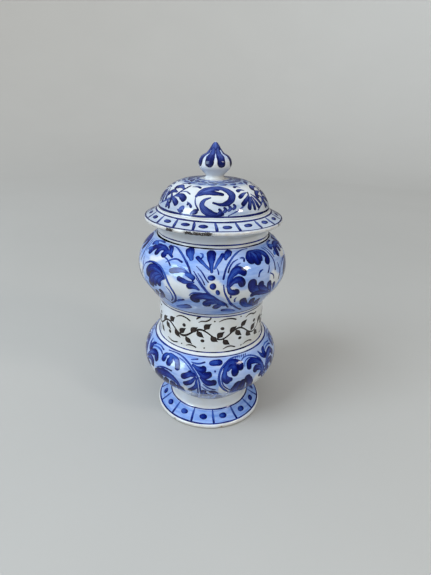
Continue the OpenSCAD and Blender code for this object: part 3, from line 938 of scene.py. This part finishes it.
def foot_thin(theta, r, z, distance):
    """Glaze runs thin over the foot's lip and down to the standing ring."""
    return soft(r, FOOT_R - 0.8, FOOT_R - 0.2) * 0.5 + (1 - soft(z, 0.4, 1.6)) * 0.6


def worn(theta, edge, places):
    """1 at the heart of each worn place on an edge, given as (angle, half width), and 0 away from them."""
    out = np.zeros_like(theta)
    for centre, half in places:
        away = np.abs((theta - centre + 180) % 360 - 180)
        out = np.maximum(out, 1.25 - away / half)
    return np.clip(out, 0, 1) * edge


def brim_chips(theta, r, z, distance):
    """Where glaze is broken off the brim's lip: in front as in the photo, and guessed past 60 degrees."""
    edge = soft(r, BRIM_R - 3.2, BRIM_R - 1.8) * (1 - soft(z, LID_Z + 2.2, LID_Z + 3.5))
    return worn(theta, edge, ((-34.5, 5.0), (-18, 5.0), (-11, 7.6), (-4, 6.0), (141, 6.0), (64, 1.8)))


def foot_chips(theta, r, z, distance):
    """Where glaze is broken off the foot's lip."""
    edge = soft(r, FOOT_R - 2.6, FOOT_R - 1.4) * (1 - soft(z, 1.8, 3.4))
    return worn(theta, edge, ((14, 2.6), (-38, 1.5), (160, 3.0)))


def foot_bare(theta, r, z, distance):
    """Unglazed clay on the standing ring and inside the foot."""
    return np.maximum(1 - soft(z, 0.25, 0.7), 1 - soft(r, FOOT_NECK_R - 4.8, FOOT_NECK_R - 4.2))


def throwing_rings(theta, r, z, distance):
    """Low ridges that the potter's fingers left up the inside of the jar."""
    inside = soft(distance, body_outline_half + 12, body_outline_half + 20) * soft(r, 8, 20)
    ridge = np.sin(2 * np.pi * (z / 6.4 + theta / 360)) + 0.4 * np.sin(2 * np.pi * z / 2.9 + 1)
    return 0.16 * ridge * inside, np.zeros_like(theta)


def notch(chips):
    """Sinks the surface where chips says the glaze is gone."""
    def shape(theta, r, z, distance):
        depth = chips(theta, r, z, distance)
        rough = 0.6 + 0.4 * np.sin(np.radians(83 * theta) + 3 * z)
        return -0.8 * depth * rough, 0.2 * depth * rough
    return shape


# ---------------- materials

class Net:
    """The nodes of a material or world, with a short way to add each kind that is used here."""

    def __init__(self, owner):
        owner.use_nodes = True
        self.nodes = owner.node_tree.nodes
        self.link = owner.node_tree.links.new

    def feed(self, socket, value):
        """Links a node's output to a socket, or sets the socket to a number, a vector or a colour."""
        if isinstance(value, bpy.types.NodeSocket):
            self.link(value, socket)
        else:
            socket.default_value = (*value, 1) if socket.type == "RGBA" else value

    def add(self, kind, **inputs):
        """A node of a kind, with its inputs fed. Spaces in their names are written as underscores."""
        node = self.nodes.new("ShaderNode" + kind)
        for name, value in inputs.items():
            self.feed(node.inputs[name.replace("_", " ")], value)
        return node

    def place(self):
        return self.add("TexCoord").outputs["Object"]

    def attribute(self, name):
        node = self.add("Attribute")
        node.attribute_name = name
        return node.outputs

    def scaled(self, vector, scale):
        node = self.add("VectorMath")
        node.operation = "MULTIPLY"
        self.feed(node.inputs[0], vector)
        self.feed(node.inputs[1], scale)
        return node.outputs["Vector"]

    def noise(self, vector, scale, detail=3.0, roughness=0.55):
        node = self.add("TexNoise", Vector=vector, Scale=scale, Detail=detail, Roughness=roughness)
        return node.outputs["Fac"]

    def ramp(self, factor, *stops):
        node = self.add("ValToRGB", Fac=factor)
        elements = node.color_ramp.elements
        while len(elements) < len(stops):
            elements.new(0.5)
        for element, (position, colour) in zip(elements, stops):
            element.position = position
            element.color = (*colour, 1)
        return node.outputs["Color"]

    def blend_colour(self, factor, a, b):
        """Mixes a towards b. Either may be a colour or a node's output."""
        node = self.add("Mix")
        node.data_type = "RGBA"
        for k, value in ((0, factor), (6, a), (7, b)):
            self.feed(node.inputs[k], value)
        return node.outputs[2]

    def remap(self, value, low, high, to_low, to_high):
        node = self.add("MapRange", Value=value, From_Min=low, From_Max=high, To_Min=to_low, To_Max=to_high)
        return node.outputs["Result"]

    def combine(self, operation, a, b, clamp=True):
        """One sum of two values. Either may be a float or a node's output."""
        node = self.add("Math")
        node.operation = operation
        node.use_clamp = clamp
        for socket, value in zip(node.inputs, (a, b)):
            self.feed(socket, value)
        return node.outputs[0]

    def bump(self, height, distance, strength, **under):
        """Relief in metres, laid over an earlier relief where Normal gives one."""
        node = self.add("Bump", Height=height, Distance=distance, Strength=strength, **under)
        return node.outputs["Normal"]


def new_material(name):
    material = bpy.data.materials.new(name)
    net = Net(material)
    return material, net, net.nodes["Principled BSDF"]


WHITE_COOL = (0.63, 0.685, 0.745)
WHITE_WARM = (0.585, 0.60, 0.59)
WASH_BLUE = (0.165, 0.33, 0.77)
WASH_DEEP = (0.105, 0.23, 0.62)
THIN_GLAZE = (0.46, 0.37, 0.27)
LID_BLUE = (0.26, 0.35, 0.52)
LID_DEEP = (0.15, 0.24, 0.44)
CLAY = (0.030, 0.017, 0.011)
BISCUIT = (0.42, 0.30, 0.20)
PINHOLE = (0.16, 0.10, 0.07)
# the paper's grey near the jar and far off; the paler far grey is painted light, where the lamps light the
# paper less
PAPER_NEAR = (0.39, 0.395, 0.39)
PAPER_FAR = (0.80, 0.81, 0.80)
# paint where it is thin, full and pooled
COBALT = (0.042, 0.120, 0.47), (0.002, 0.010, 0.165), (0.001, 0.002, 0.040)
LID_COBALT = (0.070, 0.115, 0.36), (0.010, 0.018, 0.130), (0.003, 0.004, 0.035)
MANGANESE = (0.10, 0.07, 0.06), (0.022, 0.014, 0.012), (0.006, 0.005, 0.005)


def tin_glaze(name, wash_pale=WASH_BLUE, wash_deep=WASH_DEEP, bare_colour=CLAY):
    """Glossy white glaze, blue where wash says so, brownish where thin does and clay where bare does."""
    material, net, shader = new_material(name)
    place = net.place()
    broad = net.noise(place, 38.0, 4.0)
    fine = net.noise(place, 420.0, 3.0)
    grain = net.noise(place, 1900.0, 2.0)
    white = net.ramp(broad, (0.35, WHITE_WARM), (0.62, WHITE_COOL))
    around = net.scaled(net.attribute("band")["Vector"], (1.1, 1.1, 0.42))
    streak = net.noise(around, 1.0, 5.0, 0.62)
    wash_colour = net.ramp(streak, (0.36, wash_pale), (0.72, wash_deep))
    uneven = net.remap(streak, 0.3, 0.7, 0.70, 1.0)
    wash = net.combine("MULTIPLY", net.attribute("wash")["Fac"], uneven)
    colour = net.blend_colour(wash, white, wash_colour)
    thin = net.combine("MULTIPLY", net.attribute("thin")["Fac"], net.remap(fine, 0.35, 0.65, 0.25, 0.75))
    colour = net.blend_colour(thin, colour, THIN_GLAZE)
    pinholes = net.add("TexVoronoi", Vector=place, Scale=130.0)
    speck = net.remap(pinholes.outputs["Distance"], 0.02, 0.05, 1.0, 0.0)
    sparse = net.remap(broad, 0.55, 0.60, 0.0, 0.7)
    speck = net.combine("MULTIPLY", speck, sparse)
    colour = net.blend_colour(speck, colour, PINHOLE)
    bare = net.attribute("bare")["Fac"]
    jag = net.remap(net.noise(place, 800.0, 4.0, 0.75), 0.35, 0.65, -0.45, 0.45)
    bare = net.remap(net.combine("ADD", bare, jag, clamp=False), 0.52, 0.60, 0.0, 1.0)
    rough_edge = net.combine("MULTIPLY", bare, net.remap(grain, 0.3, 0.5, 0.75, 1.0))
    clay = net.ramp(fine, (0.35, tuple(0.5 * c for c in bare_colour)), (0.65, bare_colour))
    net.link(net.blend_colour(rough_edge, colour, clay), shader.inputs["Base Color"])
    gloss = net.remap(fine, 0.3, 0.7, 0.04, 0.11)
    dull = net.combine("MAXIMUM", gloss, net.combine("MULTIPLY", bare, 0.85))
    net.link(dull, shader.inputs["Roughness"])
    net.link(net.remap(bare, 0.0, 0.5, 0.2, 0.0), shader.inputs["Coat Weight"])
    shader.inputs["Coat Roughness"].default_value = 0.04
    shader.inputs["Specular IOR Level"].default_value = 0.5
    waves = net.bump(broad, 0.0012, 0.35)
    peel = net.bump(fine, 0.00010, 0.5, Normal=waves)
    pits = net.bump(net.combine("SUBTRACT", 1.0, speck), 0.0002, 0.6, Normal=peel)
    clay_grain = net.combine("MULTIPLY", grain, bare)
    net.link(net.bump(clay_grain, 0.0005, 0.9, Normal=pits), shader.inputs["Normal"])
    return material


def brushed(name, thin, body, pooled, bleed=0.5):
    """Oxide painted on raw glaze: streaky along the stroke, paler in its middle, dark where it pools."""
    material, net, shader = new_material(name)
    place = net.place()
    along = net.scaled(net.attribute("flow")["Vector"], (0.10, 2.6, 1.0))
    streaks = net.noise(along, 1.0, 3.0, 0.6)
    blotch = net.noise(place, 210.0, 4.0, 0.6)
    tone = net.attribute("tone")["Fac"]
    uneven = net.remap(streaks, 0.3, 0.7, -0.22, 0.22)
    mottled = net.remap(blotch, 0.3, 0.7, -0.10, 0.10)
    depth = net.combine("ADD", net.combine("ADD", tone, uneven), mottled)
    middle = tuple((a + b) / 2 for a, b in zip(thin, body))
    net.link(net.ramp(depth, (0.0, thin), (0.30, middle), (0.55, body), (1.0, pooled)),
             shader.inputs["Base Color"])
    net.link(net.remap(streaks, 0.3, 0.7, 0.05, 0.14), shader.inputs["Roughness"])
    shader.inputs["Coat Weight"].default_value = 0.06
    shader.inputs["Coat Roughness"].default_value = 0.04
    shader.inputs["Specular IOR Level"].default_value = 0.26
    broad = net.noise(place, 38.0, 4.0)
    waves = net.bump(broad, 0.0012, 0.35)
    net.link(net.bump(streaks, 0.00006, bleed, Normal=waves), shader.inputs["Normal"])
    return material


def studio_paper(near, far):
    """Matt paper for the floor and backdrop, shaded from one grey near the jar to a paler one far off. The
    paler paper far off is painted light: it is brighter where the lamps light it less.
    """
    material, net, shader = new_material("studio_paper")
    place = net.place()
    away = net.add("VectorMath")
    away.operation = "LENGTH"
    net.link(place, away.inputs[0])
    # painted light: the paper turns paler with distance from the jar, where the lamps light it less
    reach = net.remap(away.outputs["Value"], 0.4, 3.4, 0.0, 1.0)
    mottle = net.remap(net.noise(place, 3.0, 4.0), 0.3, 0.7, 0.0, 0.04)
    net.link(net.ramp(net.combine("ADD", reach, mottle), (0.0, near), (1.0, far)),
             shader.inputs["Base Color"])
    shader.inputs["Roughness"].default_value = 0.8
    shader.inputs["Specular IOR Level"].default_value = 0.0
    return material


# ---------------- building the jar

body_line = body_outline()
foot_line = foot_outline()
lid_line = lid_outline()
knob_line = knob_outline()

# the stretches that paint lies on, each from its upper end to its lower one
upper_skin = Skin(body_line, (NECK_R, MOUTH_Z - 5.6), (WAIST_R, WAIST_TOP_Z), body_wobble)
lower_skin = Skin(body_line, (WAIST_R, WAIST_LOW_Z + 4), (FOOT_NECK_R, FOOT_H), body_wobble)
waist_skin = Skin(body_line, (WAIST_R, WAIST_TOP_Z), (WAIST_R, WAIST_LOW_Z), body_wobble)
dome_skin = Skin(lid_line, (KNOB_FOOT, SEAT_Z), (DOME_R, SEAT_Z - 22), lid_wobble)
brim_skin = Skin(lid_line, (DOME_R - 0.5, LID_Z + 9.1), (BRIM_R - 0.7, LID_Z + 0.3), lid_wobble)
foot_skin = Skin(foot_line, (FOOT_NECK_R, FOOT_H), (FOOT_R, 2), body_wobble)
knob_skin = Skin(knob_line, (0, TIP_Z), (KNOB_FOOT, SEAT_Z), lid_wobble)

# how far down the jar's outline its inside begins
body_outside = body_line[:int(np.argmax(body_line[:, 1])) + 1]
body_outline_half = float(np.hypot(*np.diff(body_outside, axis=0).T).sum())


def finish_piece(thing, material, node, body):
    """Glazes a turned mesh, which rides on a body and stands for a CAD node."""
    thing.data.materials.append(material)
    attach(thing, body)
    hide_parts(node)


def foot_clay(*at):
    """Clay shows where the foot was never glazed and where its glaze is chipped."""
    return np.maximum(foot_bare(*at), foot_chips(*at))


def build_clay():
    """The five clay parts, one smooth turned mesh each."""
    glaze = tin_glaze("tin_glaze")
    jar = lathe("jar_body_glazed", body_line, body_wobble, step=1.4, segments=256,
                shape=throwing_rings, wash=body_wash, bare=nowhere, thin=rim_thin)
    finish_piece(jar, glaze, "jar_body", "jar")
    foot = lathe("foot_glazed", foot_line, body_wobble, step=0.9, segments=256, closed=True,
                 shape=notch(foot_chips), wash=foot_wash, bare=foot_clay, thin=foot_thin)
    finish_piece(foot, tin_glaze("foot_tin_glaze", bare_colour=BISCUIT), "foot_ring", "jar")
    lid = lathe("lid_glazed", lid_line, lid_wobble, step=0.9, segments=360,
                shape=notch(brim_chips), wash=lid_wash, bare=brim_chips, thin=brim_thin)
    finish_piece(lid, tin_glaze("lid_tin_glaze", LID_BLUE, LID_DEEP), "lid_shell", "lid")
    ring = lathe("lid_ring_glazed", ring_outline(), lid_wobble, step=0.8, segments=192, closed=True,
                 wash=nowhere, bare=nowhere, thin=nowhere)
    finish_piece(ring, glaze, "lid_seat_ring", "lid")
    knob = lathe("lid_knob_glazed", knob_line, lid_wobble, step=0.5, segments=128,
                 wash=knob_wash, bare=nowhere, thin=nowhere)
    finish_piece(knob, glaze, "lid_knob", "lid")


def paint_lobe(name, skin, seed, material, rings, stems, *leaves):
    """One lobe's wheel-painted lines, its stems and its leaves, each a piece of its own."""
    wheel = Brush(skin, seed)
    wheel.rings(rings)
    wheel.finish(name + "_lines", material, "jar")
    fine = Brush(skin, seed + 1, lift=0.05)
    three_times(fine, stems)
    fine.finish(name + "_stems", material, "jar")
    loaded = Brush(skin, seed + 2, lift=0.09)
    for panel in leaves:
        three_times(loaded, panel)
    loaded.finish(name + "_leaves", material, "jar")


def paint_waist(cobalt, black):
    wheel = Brush(waist_skin, 32)
    wheel.ring(0.9, 1.2)
    wheel.finish("waist_line", cobalt, "jar")
    pen = Brush(waist_skin, 31)
    waist_garland(pen)
    three_times(pen, waist_flourishes)
    pen.finish("waist_ornament", black, "jar")


def paint_foot(cobalt):
    inner, outer = FOOT_BORDER
    border = Brush(foot_skin, 41)
    border.rings(((inner, 1.4), (outer, 1.5)))
    cells(border, inner, outer, count=14, offset=6.5, lean=0.4, wide=6.8, high=4.8, width=1.7)
    border.finish("foot_border", cobalt, "jar")


def paint_lid(cobalt):
    """The brim's border, the dome's brushwork and the knob's petals."""
    border = Brush(brim_skin, 51)
    border.rings(((2.4, 1.8), (11.6, 1.3)))
    cells(border, 2.6, 11.4, count=20, offset=3, lean=0.8, wide=7.0, high=3.7, width=2.0)
    border.finish("brim_border", cobalt, "lid")
    dome = Brush(dome_skin, 61)
    dome.ring(43.6, 1.8)
    three_times(dome, dome_crown)
    three_times(dome, dome_volutes)
    dome.finish("dome_brushwork", cobalt, "lid")
    knob = Brush(knob_skin, 71, lift=0.06)
    knob_petals(knob)
    knob.finish("knob_petals", cobalt, "lid")


def build_brushwork():
    """All painted strokes, grouped by where they lie."""
    cobalt = brushed("cobalt_oxide", *COBALT)
    lid_cobalt = brushed("lid_cobalt_oxide", *LID_COBALT)
    black = brushed("manganese_oxide", *MANGANESE)
    paint_lobe("upper", upper_skin, 11, cobalt, ((3.0, 1.2), (5.5, 1.3), (66.8, 1.5)),
               upper_stems, upper_leaves, upper_bud)
    paint_lobe("lower", lower_skin, 21, cobalt, ((4.6, 1.15), (8.1, 1.3), (68.4, 1.3)),
               lower_stems, lower_leaves)
    paint_waist(cobalt, black)
    paint_foot(cobalt)
    paint_lid(lid_cobalt)


# ---------------- stage, lights and camera

def turned_sheet(name, profile, filled=False):
    """A sheet turned about Z from radii and heights in metres, facing up and inwards."""
    segments = 96
    angles = [2 * math.pi * k / segments for k in range(segments)]
    points = [(r * math.sin(a), -r * math.cos(a), z) for r, z in profile for a in angles]
    faces = [tuple(range(segments))] if filled else []
    for i in range(len(profile) - 1):
        for k in range(segments):
            a, b = i * segments + k, i * segments + (k + 1) % segments
            faces.append((a, a + segments, b + segments, b))
    return new_object(name, np.array(points) / MM, faces)


def build_stage():
    """A pale round floor, and a backdrop sweeping up all round it that only the camera sees."""
    paper = studio_paper(PAPER_NEAR, PAPER_FAR)
    reach, sweep, top = 1.4, 2.0, 3.1
    floor = turned_sheet("studio_floor", [(0.3, 0.0), (0.7, 0.0), (reach, 0.0)], filled=True)
    profile = [(reach + sweep * sin(a), sweep * (1 - cos(a))) for a in range(0, 91, 5)]
    backdrop = turned_sheet("studio_backdrop", profile + [(reach + sweep, top)])
    backdrop.visible_diffuse = False
    backdrop.visible_glossy = False
    backdrop.visible_shadow = False
    for thing in (floor, backdrop):
        thing.data.materials.append(paper)


def soft_light(name, place, aim, wide, high, power, colour):
    """A rectangular light of so many metres and watts, turned to face aim."""
    data = bpy.data.lights.new(name, "AREA")
    data.shape = "RECTANGLE"
    data.size = wide
    data.size_y = high
    data.energy = power
    data.color = colour
    thing = bpy.data.objects.new(name, data)
    thing.location = place
    thing.rotation_euler = (Vector(aim) - Vector(place)).to_track_quat("-Z", "Y").to_euler()
    bpy.context.scene.collection.objects.link(thing)
    return thing


def build_world():
    """Dim room light, brighter from the window's side, and dimmer still where the glaze mirrors it."""
    world = bpy.data.worlds.new("studio")
    net = Net(world)
    background = net.nodes["Background"]
    direction = net.add("SeparateXYZ")
    net.link(net.add("TexCoord").outputs["Generated"], direction.inputs["Vector"])
    room = net.remap(direction.outputs["X"], -1.0, 0.7, 0.60, 0.18)
    side = net.remap(direction.outputs["X"], -1.0, 0.8, 0.0, 1.0)
    net.link(net.ramp(side, (0.0, (0.86, 0.94, 1.0)), (1.0, (1.0, 0.89, 0.72))),
             background.inputs["Color"])
    mirrored = net.add("LightPath").outputs["Is Glossy Ray"]
    kept = net.remap(mirrored, 0.0, 1.0, 1.0, 0.55)
    net.link(net.combine("MULTIPLY", room, kept), background.inputs["Strength"])
    bpy.context.scene.world = world


def build_lights():
    """A cool window and key on the left, a small lamp on the right, and broad light from above and in front.

    Only the window and the lamp show in the glaze, and the window does nothing else.
    """
    middle = (0, 0, TIP_Z * MM / 2)
    window = soft_light("window", (-1.15, -0.85, 0.55), middle, 0.6, 0.85, 17, (0.66, 0.84, 1.0))
    window.visible_diffuse = False
    key = soft_light("key", (-0.95, -0.65, 1.2), middle, 0.8, 0.8, 19, (0.84, 0.93, 1.0))
    fill = soft_light("fill", (1.1, -0.7, 0.9), middle, 0.22, 0.22, 5.0, (1.0, 0.92, 0.82))
    ceiling = soft_light("ceiling", (0, -0.6, 3.2), (0, -0.6, 0), 6.0, 6.0, 74, (0.97, 0.98, 1.0))
    front = soft_light("front", (0.25, -1.2, 1.3), middle, 1.2, 1.0, 5.2, (1.0, 0.98, 0.94))
    for light in (key, ceiling, front):
        light.visible_glossy = False
    for light in (window, key, fill, ceiling, front):
        light.visible_camera = False
    bpy.context.scene.view_settings.view_transform = "Standard"


def build_camera():
    """A wide phone lens a little above the jar, turned a little off level."""
    place = (0, -0.3197, 0.2467)
    pitch, yaw, roll = 0.405, 0.010, 0.031  # radians
    ahead = Vector((math.sin(yaw) * math.cos(pitch), math.cos(yaw) * math.cos(pitch), -math.sin(pitch)))
    right = Vector((math.cos(yaw), -math.sin(yaw), 0))
    up = right.cross(ahead)
    side = right * math.cos(roll) + up * math.sin(roll)
    top = up * math.cos(roll) - right * math.sin(roll)
    data = bpy.data.cameras.new("camera")
    data.lens = 26.0
    data.sensor_width = 36.0
    data.clip_start = 0.01
    camera = bpy.data.objects.new("camera", data)
    turn = Matrix((side, top, -ahead)).transposed().to_4x4()
    camera.matrix_world = Matrix.Translation(place) @ turn
    bpy.context.scene.collection.objects.link(camera)
    bpy.context.scene.camera = camera


build_clay()
build_brushwork()
build_stage()
build_world()
build_lights()
build_camera()
